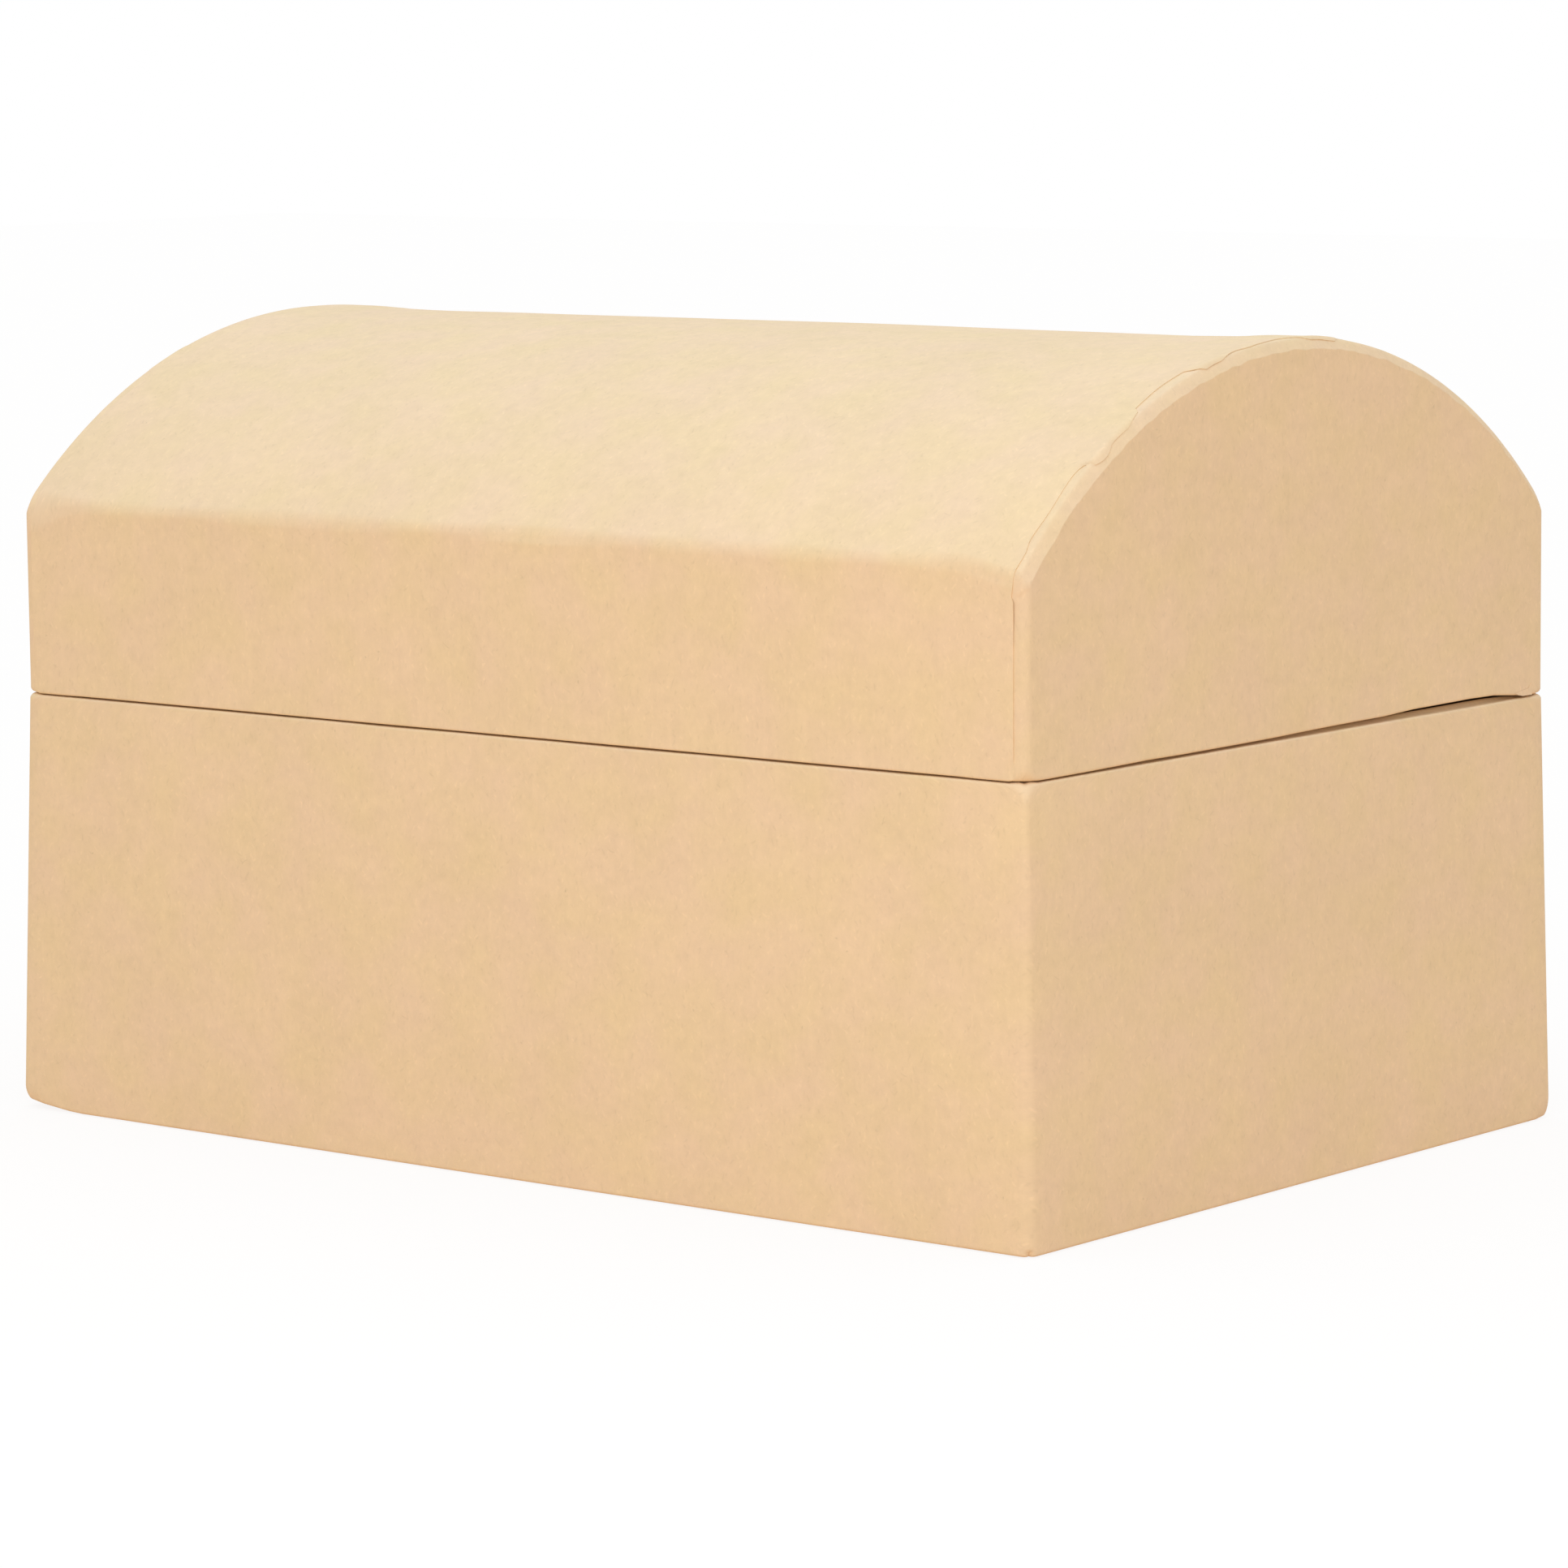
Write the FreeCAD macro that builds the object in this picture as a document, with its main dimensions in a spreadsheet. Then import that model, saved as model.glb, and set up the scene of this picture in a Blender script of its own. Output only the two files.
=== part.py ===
import FreeCAD
import Part
import Sketcher
import math
import os

# Treasure chest box of chipboard panels covered with kraft paper, in millimetres.
# X runs along the length, the front is at -Y, the hinge at +Y, and Z goes up from the table.
# The origin lies under the middle of the box.

sizes = {
    "length": 203.0,       # outside, along the front
    "depth": 137.0,        # outside, front to back
    "base_height": 68.0,   # table to the rim of the base
    "lid_wall": 29.0,      # rim of the lid to the crease under the dome
    "dome_rise": 30.2,     # crease to the top of the dome
    "rim_gap": 0.3,        # air between the two rims
    "end_lift": 0.9,       # more air under the lid's ends, growing to the back
    "board": 2.0,          # chipboard of walls and floor
    "dome_card": 1.2,      # card bent over the dome
    "paper": 0.25,         # kraft paper
    "glue": 0.05,          # glue line between two layers
    "edge_round": 1.3,     # paper over an outer edge
    "crease_round": 4.0,   # soft bend from lid wall to dome
    "seam_margin": 0.2,    # top wrap stops this far inside the lid's end walls
    "flap": 10.0,          # end wrap turned over on to the dome
    "flap_rise": 3.0,      # foot of that flap above the rim, under the top wrap
    "snip_width": 0.5,     # slit between two tabs of the flap
    "snip_root": 2.0,      # uncut paper from the end face to a slit
    "turn_in": 12.0,       # wrap turned over a rim to the inside
    "turn_under": 15.0,    # wrap turned under the floor
    "sheet_margin": 3.0,   # bottom sheet inside the outline
    "lining_drop": 4.0,    # edge of a lining below or above its rim
    "stay_leg": 12.0,      # leg of a paper angle in a corner
    "stay_gap": 1.0,       # paper angle clear of the turned-in wrap
    "hinge_leaf": 18.0,    # hinge strip on each side of the rims
    "hinge_margin": 3.0,   # hinge strip inside the ends of the box
    "hinge_dip": 0.4,      # hinge strip pressed in between the rims
}
snip_count = 9             # slits along the arch of each end

doc = FreeCAD.newDocument("treasure_chest_box")
sheet = doc.addObject("Spreadsheet::Sheet", "Sizes")
for row, (name, value) in enumerate(sizes.items(), start=1):
    sheet.set(f"A{row}", name)
    sheet.set(f"B{row}", str(value))
    sheet.setAlias(f"B{row}", name)
doc.recompute()


class Size:
    # A number together with the expression that ties it to the sheet.

    def __init__(self, value, text):
        self.value = value
        self.text = text

    def __add__(self, other):
        other = as_size(other)
        return Size(self.value + other.value, f"({self.text} + {other.text})")

    def __sub__(self, other):
        other = as_size(other)
        return Size(self.value - other.value, f"({self.text} - {other.text})")

    def __mul__(self, other):
        other = as_size(other)
        return Size(self.value * other.value, f"({self.text} * {other.text})")

    def __truediv__(self, other):
        other = as_size(other)
        return Size(self.value / other.value, f"({self.text} / {other.text})")

    def __neg__(self):
        return Size(-self.value, f"(0 - {self.text})")

    def root(self):
        return Size(math.sqrt(self.value), f"sqrt({self.text})")

    def angle_to(self, other):
        degrees = math.degrees(math.atan2(self.value, other.value))
        return Size(degrees, f"atan2({self.text}; {other.text})")


def as_size(number):
    if isinstance(number, Size):
        return number
    return Size(number, f"({number})")


def driven(name):
    return Size(sizes[name], f"Sizes.{name}")


paper = driven("paper")
glue = driven("glue")
board = driven("board")
edge_round = driven("edge_round")
turn_in = driven("turn_in")
stay_leg = driven("stay_leg")
stay_gap = driven("stay_gap")
lining_drop = driven("lining_drop")
end_lift = driven("end_lift")
base_rim = driven("base_height")

# Layers, counted inwards from the outside of the box.
skin = paper + glue                        # one sheet and its glue
wall = skin + board + glue + paper         # wall covered on both faces
seat = skin * 2                            # lid boards lie under flap and top wrap
rail = seat + board + glue + paper         # lid's long wall covered on both faces
half_length = driven("length") / 2
half_depth = driven("depth") / 2
past = edge_round * 4                      # reach of cutting shapes beyond the solid

# Heights of the base.
board_foot = skin * 2
floor_top = board_foot + board + glue

# The dome is an arc over the lid's depth, met by a soft bend at each long wall.
lid_rim = base_rim + driven("rim_gap")
crease = lid_rim + driven("lid_wall")
dome_rise = driven("dome_rise")
dome_radius = (half_depth * half_depth + dome_rise * dome_rise) / (dome_rise * 2)
dome_centre = crease + dome_rise - dome_radius
crease_round = driven("crease_round")
bend_y = half_depth - crease_round
bend_reach = dome_radius - crease_round
bend_z = dome_centre + (bend_reach * bend_reach - bend_y * bend_y).root()
card_under = dome_radius - seat - driven("dome_card")
end_half = half_depth - seat - board - glue        # lid's end panels stand between the long walls
wrap_half = half_length - wall - driven("seam_margin")

nodes = {}


def node(name, thing):
    thing.Label = name
    nodes[name] = thing
    return thing


def tie(thing, prop, amount):
    thing.setExpression(prop, amount.text)


def box(name, low, high):
    thing = doc.addObject("Part::Box", name)
    for prop, axis, start, end in zip(("Length", "Width", "Height"), "xyz", low, high):
        tie(thing, prop, end - start)
        tie(thing, f"Placement.Base.{axis}", start)
    return thing


def block(name, half_x, half_y, low_z, high_z):
    return box(name, (-half_x, -half_y, low_z), (half_x, half_y, high_z))


def across(side, inner, outer):
    # Two distances from the middle plane, in rising order on the left or the right.
    return (inner, outer) if side > 0 else (-outer, -inner)


def cut(name, base, tool):
    thing = doc.addObject("Part::Cut", name)
    thing.Base = base
    thing.Tool = tool
    return thing


def fuse(name, *shapes):
    thing = doc.addObject("Part::MultiFuse", name)
    thing.Shapes = list(shapes)
    thing.Refine = True
    return thing


def common(name, *shapes):
    thing = doc.addObject("Part::MultiCommon", name)
    thing.Shapes = list(shapes)
    return thing


def group(name, shapes):
    thing = doc.addObject("Part::Compound", name)
    thing.Links = shapes
    return thing


def sketch_in(body, role, offset):
    planes = [item for item in body.Origin.OriginFeatures if item.Role == role]
    sketch = body.newObject("Sketcher::SketchObject", f"{body.Name}_outline")
    sketch.AttachmentSupport = [(planes[0], "")]
    sketch.MapMode = "FlatFace"
    tie(sketch, "AttachmentOffset.Base.z", offset)
    return sketch


def hold(sketch, kind, *places):
    # A constraint whose last item is a Size, tied to the sheet.
    amount = places[-1]
    index = sketch.addConstraint(Sketcher.Constraint(kind, *places[:-1], amount.value))
    sketch.setExpression(f"Constraints[{index}]", amount.text)


def line(start, end):
    return Part.LineSegment(FreeCAD.Vector(*start, 0), FreeCAD.Vector(*end, 0))


def arc(centre, radius, first, last):
    circle = Part.Circle(FreeCAD.Vector(*centre, 0), FreeCAD.Vector(0, 0, 1), radius)
    return Part.ArcOfCircle(circle, first, last)


def draw_corners(sketch, corners):
    # Closed outline of straight edges, each corner held by its two coordinates.
    count = len(corners)
    for index, (across_at, up_at) in enumerate(corners):
        next_across, next_up = corners[(index + 1) % count]
        sketch.addGeometry(line((across_at.value, up_at.value), (next_across.value, next_up.value)))
    for index, (across_at, up_at) in enumerate(corners):
        sketch.addConstraint(Sketcher.Constraint("Coincident", index, 2, (index + 1) % count, 1))
        hold(sketch, "DistanceX", -1, 1, index, 1, across_at)
        hold(sketch, "DistanceY", -1, 1, index, 1, up_at)


def hold_dome(sketch, index, radius):
    sketch.addConstraint(Sketcher.Constraint("PointOnObject", index, 3, -2))
    hold(sketch, "DistanceY", -1, 1, index, 3, dome_centre)
    hold(sketch, "Radius", index, radius)


def draw_panel(sketch, half, front_foot, back_foot, radius):
    # Panel with a straight foot, upright sides and the dome's arc on top.
    side, front, back = half.value, front_foot.value, back_foot.value
    turn = math.acos(side / radius.value)
    top = dome_centre.value + radius.value * math.sin(turn)
    sketch.addGeometry(line((-side, front), (side, back)))
    sketch.addGeometry(line((side, back), (side, top)))
    sketch.addGeometry(arc((0, dome_centre.value), radius.value, turn, math.pi - turn))
    sketch.addGeometry(line((-side, top), (-side, front)))
    for index, end, follower, start in ((0, 2, 1, 1), (1, 2, 2, 1), (2, 2, 3, 1), (3, 2, 0, 1)):
        sketch.addConstraint(Sketcher.Constraint("Coincident", index, end, follower, start))
    sketch.addConstraint(Sketcher.Constraint("Vertical", 1))
    sketch.addConstraint(Sketcher.Constraint("Vertical", 3))
    hold(sketch, "DistanceX", -1, 1, 0, 1, -half)
    hold(sketch, "DistanceY", -1, 1, 0, 1, front_foot)
    hold(sketch, "DistanceX", -1, 1, 0, 2, half)
    hold(sketch, "DistanceY", -1, 1, 0, 2, back_foot)
    hold_dome(sketch, 2, radius)


def draw_arch(sketch, inset, foot):
    # Section of the lid: foot, upright walls, a soft bend at each wall's top, and the dome.
    half, bend = half_depth - inset, crease_round - inset
    radius = dome_radius - inset
    side, low, high = half.value, foot.value, bend_z.value
    turn = math.atan2(bend_z.value - dome_centre.value, bend_y.value)
    sketch.addGeometry(line((-side, low), (side, low)))
    sketch.addGeometry(line((side, low), (side, high)))
    sketch.addGeometry(arc((bend_y.value, high), bend.value, 0, turn))
    sketch.addGeometry(arc((0, dome_centre.value), radius.value, turn, math.pi - turn))
    sketch.addGeometry(arc((-bend_y.value, high), bend.value, math.pi - turn, math.pi))
    sketch.addGeometry(line((-side, high), (-side, low)))
    sketch.addConstraint(Sketcher.Constraint("Coincident", 0, 2, 1, 1))
    sketch.addConstraint(Sketcher.Constraint("Coincident", 5, 2, 0, 1))
    for index in range(1, 5):
        sketch.addConstraint(Sketcher.Constraint("Tangent", index, 2, index + 1, 1))
    sketch.addConstraint(Sketcher.Constraint("Horizontal", 0))
    sketch.addConstraint(Sketcher.Constraint("Vertical", 1))
    sketch.addConstraint(Sketcher.Constraint("Vertical", 5))
    hold(sketch, "DistanceX", -1, 1, 0, 1, -half)
    hold(sketch, "DistanceY", -1, 1, 0, 1, foot)
    hold(sketch, "DistanceX", -1, 1, 0, 2, half)
    hold(sketch, "Radius", 2, bend)
    hold(sketch, "Radius", 4, bend)
    hold_dome(sketch, 3, radius)


def pad(body, sketch, amount):
    thing = body.newObject("PartDesign::Pad", f"{body.Name}_pad")
    thing.Profile = sketch
    tie(thing, "Length", amount)
    doc.recompute()
    return thing


def prism(name, role, low, high, draw, *details):
    # Outline drawn on a plane at low and padded to high.
    body = doc.addObject("PartDesign::Body", name)
    sketch = sketch_in(body, role, low)
    draw(sketch, *details)
    return body, pad(body, sketch, high - low)


def soften_edges(body, base, crushed, amount, chosen):
    # Paper goes round an edge in a curve, and the board under it is crushed to a bevel.
    names = [f"Edge{n}" for n, edge in enumerate(base.Shape.Edges, start=1) if chosen(edge)]
    kind, prop = ("Chamfer", "Size") if crushed else ("Fillet", "Radius")
    thing = body.newObject(f"PartDesign::{kind}", f"{body.Name}_{kind.lower()}")
    thing.Base = (base, names)
    tie(thing, prop, amount)
    doc.recompute()


def base_block(name, inset, crushed):
    # The base's outline, drawn in by one layer or more, with all its edges softened.
    half_x, half_y = half_length - inset, half_depth - inset
    corners = [(-half_x, -half_y), (half_x, -half_y), (half_x, half_y), (-half_x, half_y)]
    body, base = prism(name, "XY_Plane", skin + inset, base_rim - inset, draw_corners, corners)
    soften_edges(body, base, crushed, edge_round - inset, lambda edge: True)
    return body


def arch_block(name, inset, half_x, foot, crushed, amount, ends, rims):
    # The lid's section along the box, with soft edges at its ends, along its rims, or both.
    body, base = prism(name, "YZ_Plane", -half_x, half_x, draw_arch, inset, foot)

    def chosen(edge):
        box_of = edge.BoundBox
        low = box_of.ZMax < foot.value + glue.value
        at_end = box_of.XLength < glue.value
        if at_end:
            return ends and (rims or not low)
        return rims and low

    soften_edges(body, base, crushed, amount, chosen)
    return body


def make_base():
    # Four wall panels cut from one bevelled outline, and the floor panel between them.
    outline = base_block("base_board_outline", skin, crushed=True)
    outer_x, outer_y = half_length - skin, half_depth - skin
    inner_y = outer_y - board
    for name, side in (("base_front_board", -1), ("base_back_board", 1)):
        low, high = across(side, inner_y, outer_y)
        slab = box(f"{name}_slab", (-outer_x, low, board_foot), (outer_x, high, base_rim))
        node(name, common(name, outline, slab))
    end_y = inner_y - glue
    for name, side in (("base_left_board", -1), ("base_right_board", 1)):
        low, high = across(side, outer_x - board, outer_x)
        slab = box(f"{name}_slab", (low, -end_y, board_foot), (high, end_y, base_rim))
        node(name, common(name, outline, slab))
    floor_x = outer_x - board - glue
    node("base_floor_board", block("base_floor_board", floor_x, end_y, board_foot, board_foot + board))


def make_base_wrap():
    # Closed paper skin, opened at mouth and floor, with the edge turned down inside the rim.
    closed = cut("base_skin",
                 base_block("base_wrap_outside", paper - paper, crushed=False),
                 base_block("base_wrap_inside", paper, crushed=False))
    mouth_x, mouth_y = half_length - wall, half_depth - wall
    mouth = block("base_mouth", mouth_x, mouth_y, base_rim - skin, base_rim + past)
    under_x, under_y = half_length - driven("turn_under"), half_depth - driven("turn_under")
    under = block("base_under", under_x, under_y, skin - past, skin + skin)
    turned_foot = base_rim - turn_in
    turned = cut("base_turned_edge",
                 block("base_turned_outside", mouth_x + paper, mouth_y + paper, turned_foot, base_rim),
                 block("base_turned_inside", mouth_x, mouth_y, turned_foot - past, base_rim + past))
    opened = cut("base_skin_open", cut("base_skin_mouth", closed, mouth), under)
    node("base_outer_wrap", fuse("base_outer_wrap", opened, turned))


def make_base_papers():
    margin = driven("sheet_margin")
    node("base_bottom_sheet",
         block("base_bottom_sheet", half_length - margin, half_depth - margin, paper - paper, paper))
    outer_x, outer_y = half_length - wall - glue, half_depth - wall - glue
    inner_x, inner_y = outer_x - paper, outer_y - paper
    lining_top = base_rim - lining_drop
    node("base_wall_lining",
         cut("base_wall_lining",
             block("base_lining_outside", outer_x, outer_y, floor_top, lining_top),
             block("base_lining_inside", inner_x, inner_y, floor_top - past, lining_top + past)))
    node("base_floor_lining",
         block("base_floor_lining", inner_x - glue, inner_y - glue, floor_top, floor_top + paper))


def corner_stays(name, outer_x, outer_y, low, high):
    # Four paper angles, one in each corner, with equal legs.
    angles = []
    for side_x in (-1, 1):
        for side_y in (-1, 1):
            corner = f"{name}_{len(angles) + 1}"
            x_low, x_high = across(side_x, outer_x - stay_leg, outer_x)
            y_low, y_high = across(side_y, outer_y - stay_leg, outer_y)
            whole = box(f"{corner}_whole", (x_low, y_low, low), (x_high, y_high, high))
            x_low, x_high = across(side_x, outer_x - stay_leg - past, outer_x - paper)
            y_low, y_high = across(side_y, outer_y - stay_leg - past, outer_y - paper)
            inside = box(f"{corner}_inside", (x_low, y_low, low - past), (x_high, y_high, high + past))
            angles.append(cut(corner, whole, inside))
    node(name, group(name, angles))


def dome_cylinder(name, radius):
    thing = doc.addObject("Part::Cylinder", name)
    thing.Placement.Rotation = FreeCAD.Rotation(FreeCAD.Vector(0, 1, 0), 90)
    tie(thing, "Radius", radius)
    tie(thing, "Height", (half_length + past) * 2)
    tie(thing, "Placement.Base.x", -(half_length + past))
    tie(thing, "Placement.Base.z", dome_centre)
    return thing


def make_lid_boards():
    # Dome card over the long walls, all cut from one outline, and arched ends between the walls.
    outline = arch_block("lid_board_outline", seat, half_length - skin, lid_rim + skin,
                         True, edge_round - skin, ends=True, rims=True)
    node("lid_dome_board", cut("lid_dome_board", outline, dome_cylinder("lid_under_card", card_under)))
    below = dome_cylinder("lid_below_card", card_under - glue)
    for name, side in (("lid_front_board", -1), ("lid_back_board", 1)):
        low, high = across(side, half_depth - seat - board, half_depth - seat)
        slab = box(f"{name}_slab", (-half_length, low, lid_rim),
                   (half_length, high, crease + dome_rise))
        node(name, common(name, outline, slab, below))
    foot = lid_rim + skin
    for name, side in (("lid_left_end_board", -1), ("lid_right_end_board", 1)):
        low, high = across(side, half_length - skin - board, half_length - skin)
        panel, _ = prism(name, "YZ_Plane", low, high, draw_panel,
                         end_half, foot, foot + end_lift, card_under - glue)
        node(name, panel)


def rim_strip(name, side, inner, outer, tall):
    # Paper along the sloping foot of an end panel.
    low, high = across(side, half_length - inner, half_length - outer)
    corners = [(-end_half, lid_rim), (end_half, lid_rim + end_lift),
               (end_half, lid_rim + end_lift + tall), (-end_half, lid_rim + tall)]
    strip, _ = prism(name, "YZ_Plane", low, high, draw_corners, corners)
    return strip


def flap_slits(name, side):
    # Snips from the flap's free edge towards the fold, fanned evenly over the dome's arc.
    spread = bend_y.angle_to(bend_z - dome_centre)
    slits = []
    for index in range(snip_count):
        slit = doc.addObject("Part::Box", f"{name}_{index + 1}")
        low, high = across(side, half_length - driven("flap") - past, half_length - driven("snip_root"))
        tie(slit, "Length", high - low)
        tie(slit, "Width", driven("snip_width"))
        tie(slit, "Height", dome_radius + past)
        slit.Placement.Rotation = FreeCAD.Rotation(FreeCAD.Vector(1, 0, 0), 1)
        tie(slit, "Placement.Base.x", low)
        tie(slit, "Placement.Base.z", dome_centre)
        tie(slit, "Placement.Rotation.Angle", spread * (2 * index / (snip_count - 1) - 1))
        slits.append(slit)
    return group(name, slits)


def make_end_wraps():
    # Arched sheet over each end, its edge snipped into tabs and folded on to dome and walls,
    # its foot turned in under the end panel.
    below = lid_rim - past
    outside = arch_block("end_wrap_outside", skin, half_length, below,
                         False, edge_round, ends=True, rims=False)
    inside = arch_block("end_wrap_inside", skin + paper, half_length - paper, below,
                        False, edge_round - paper, ends=True, rims=False)
    closed = cut("end_wrap_skin", outside, inside)
    edge_y = half_depth + past
    under_corners = [(-edge_y, below - past), (edge_y, below - past), (edge_y, lid_rim),
                     (end_half, lid_rim), (end_half, lid_rim + end_lift), (-end_half, lid_rim),
                     (-edge_y, lid_rim)]
    under, _ = prism("end_wrap_under", "YZ_Plane", -half_length - past, half_length + past,
                     draw_corners, under_corners)
    skirt = cut("end_wrap_skirt", closed, under)
    flap_foot = lid_rim + driven("flap_rise")
    for name, side in (("lid_left_end_wrap", -1), ("lid_right_end_wrap", 1)):
        low, high = across(side, half_length - driven("flap"), half_length + past)
        cap = common(f"{name}_cap", skirt,
                     box(f"{name}_zone", (low, -edge_y, below), (high, edge_y, crease + dome_rise + past)))
        low, high = across(side, half_length - driven("flap") - past, half_length - wall)
        foot = box(f"{name}_foot", (low, -edge_y, below), (high, edge_y, flap_foot))
        tabs = cut(f"{name}_tabs", cut(f"{name}_raised", cap, foot), flap_slits(f"{name}_slits", side))
        sole_low, sole_high = across(side, half_length - wall, half_length)
        soles = []
        for end, side_y in (("front", -1), ("back", 1)):
            y_low, y_high = across(side_y, end_half, half_depth)
            sole = box(f"{name}_{end}_sole", (sole_low, y_low, lid_rim),
                       (sole_high, y_high, lid_rim + paper))
            soles.append(common(f"{name}_{end}_tuck", outside, sole))
        turned_foot = rim_strip(f"{name}_turn", side, wall, paper - paper, paper)
        turned_in = rim_strip(f"{name}_turned_in", side, wall, wall - paper, turn_in)
        node(name, fuse(name, tabs, turned_foot, turned_in, *soles))


def make_top_wrap():
    # One sheet over front, dome and back, short of the ends, turned in along both rims.
    closed = cut("top_wrap_skin",
                 arch_block("top_wrap_outside", paper - paper, wrap_half, lid_rim,
                            False, edge_round, ends=False, rims=True),
                 arch_block("top_wrap_inside", paper, wrap_half + past, lid_rim + paper,
                            False, edge_round - paper, ends=False, rims=True))
    mouth = block("top_wrap_mouth", wrap_half + past, half_depth - rail, lid_rim - past, lid_rim + skin)
    pieces = [cut("top_wrap_open", closed, mouth)]
    for name, side in (("front", -1), ("back", 1)):
        low, high = across(side, half_depth - rail, half_depth - rail + paper)
        pieces.append(box(f"top_wrap_{name}_turn", (-wrap_half, low, lid_rim),
                          (wrap_half, high, lid_rim + turn_in)))
    node("lid_top_wrap", fuse("lid_top_wrap", *pieces))


def make_lid_lining():
    # Arched sheets on the ends, and one sheet up the back wall, over the dome and down the front.
    foot = lid_rim + end_lift + lining_drop
    side_y = half_depth - rail - glue
    arc_radius = card_under - glue
    end_x = half_length - wall - glue
    for name, side in (("lid_left_end_lining", -1), ("lid_right_end_lining", 1)):
        low, high = across(side, end_x - paper, end_x)
        panel, _ = prism(name, "YZ_Plane", low, high, draw_panel, side_y, foot, foot, arc_radius)
        node(name, panel)
    dome_x = end_x - paper - glue
    outside, _ = prism("dome_lining_outside", "YZ_Plane", -dome_x, dome_x, draw_panel,
                       side_y, foot, foot, arc_radius)
    inside, _ = prism("dome_lining_inside", "YZ_Plane", -dome_x - past, dome_x + past, draw_panel,
                      side_y - paper, foot - past, foot - past, arc_radius - paper)
    node("lid_dome_lining", cut("lid_dome_lining", outside, inside))


def make_hinge():
    # Paper strip down both backs, pressed in a little between the two rounded rims.
    near = half_depth + glue
    far = near + paper
    dip = driven("hinge_dip")
    leaf = driven("hinge_leaf")
    middle = (base_rim + lid_rim) / 2
    corners = [(near, base_rim - leaf), (far, base_rim - leaf), (far, middle - edge_round),
               (far - dip, middle), (far, middle + edge_round), (far, lid_rim + leaf),
               (near, lid_rim + leaf), (near, middle + edge_round), (near - dip, middle),
               (near, middle - edge_round)]
    reach = half_length - driven("hinge_margin")
    strip, _ = prism("hinge_strip", "YZ_Plane", -reach, reach, draw_corners, corners)
    node("hinge_strip", strip)


make_base()
make_base_wrap()
make_base_papers()
corner_stays("base_corner_stays", half_length - wall + paper, half_depth - wall + paper,
             floor_top, base_rim - turn_in - stay_gap)
make_lid_boards()
make_end_wraps()
make_top_wrap()
make_lid_lining()
corner_stays("lid_corner_stays", half_length - wall + paper, half_depth - rail + paper,
             lid_rim + end_lift + turn_in + stay_gap, crease - driven("dome_card") * 2 - stay_gap)
make_hinge()
doc.recompute()

for thing in doc.Objects:
    if "Invalid" in thing.State or "Error" in thing.State:
        raise RuntimeError(f"{thing.Name} failed: {thing.State}")
for name, thing in nodes.items():
    if thing.Shape.isNull() or not thing.Shape.isValid():
        raise RuntimeError(f"{name} has no valid shape")

os.makedirs("parts", exist_ok=True)
for name, thing in nodes.items():
    thing.Shape.exportStep(f"parts/{name}.step")
    print(name, len(thing.Shape.Solids), "solids", round(thing.Shape.Volume, 1), "mm3")
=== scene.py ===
import math

import bmesh
import bpy
from mathutils import Matrix, Vector, noise


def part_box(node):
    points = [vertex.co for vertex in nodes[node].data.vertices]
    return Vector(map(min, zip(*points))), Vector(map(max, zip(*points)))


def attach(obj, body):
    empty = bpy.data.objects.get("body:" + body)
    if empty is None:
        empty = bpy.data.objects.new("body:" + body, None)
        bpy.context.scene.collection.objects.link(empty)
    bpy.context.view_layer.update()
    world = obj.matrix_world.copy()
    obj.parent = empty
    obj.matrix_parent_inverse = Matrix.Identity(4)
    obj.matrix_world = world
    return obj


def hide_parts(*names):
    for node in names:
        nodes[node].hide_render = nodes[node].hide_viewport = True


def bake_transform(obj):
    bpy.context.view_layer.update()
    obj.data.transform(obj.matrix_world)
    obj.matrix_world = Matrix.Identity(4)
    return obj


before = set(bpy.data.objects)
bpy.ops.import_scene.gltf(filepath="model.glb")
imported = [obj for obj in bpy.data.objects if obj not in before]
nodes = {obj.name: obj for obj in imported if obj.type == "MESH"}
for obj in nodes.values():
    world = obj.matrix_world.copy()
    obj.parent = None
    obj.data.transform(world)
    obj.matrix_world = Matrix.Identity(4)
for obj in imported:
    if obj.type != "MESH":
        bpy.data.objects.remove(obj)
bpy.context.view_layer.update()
scene = bpy.context.scene
scene.view_settings.view_transform = "Standard"
mm = 0.001
print("frame:", len(nodes), "CAD nodes")

# Outside sizes of the chest in millimetres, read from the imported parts
baseLow, baseHigh = (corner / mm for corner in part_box("base_outer_wrap"))
topLow, topHigh = (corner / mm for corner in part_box("lid_top_wrap"))
chest = {
    "halfLength": baseHigh.x,
    "halfDepth": baseHigh.y,
    "baseFoot": 0.2,
    "baseUnder": baseLow.z,          # turned edges lie on the sheet under the floor
    "baseRim": baseHigh.z + 0.08,    # papers swell a little into the gap
    "lidRim": topLow.z - 0.06,
    "domeRise": 30.2,        # crease to the top of the dome, before the crease is raised
    # crease at the front right end, at the other ends and between the ends: how far it is raised, its round
    "crispCrease": (0.0, 4.0),
    "softCrease": (0.8, 9.0),
    "midCrease": (1.9, 4.0),
    "edgeRound": 1.3,        # upright edge of the lid at the front right, folded crisply
    "softRound": 2.2,        # the other upright edges
    "rimCorner": 4.3,        # plan of the corners at the rims, drawn in by the folded paper
    "paper": 0.14,
    "layer": 0.16,           # one sheet and its glue
}
domeRadius = (chest["halfDepth"] ** 2 + chest["domeRise"] ** 2) / (2 * chest["domeRise"])
domeHeart = topHigh.z - domeRadius                    # height of the dome's centre line


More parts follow.
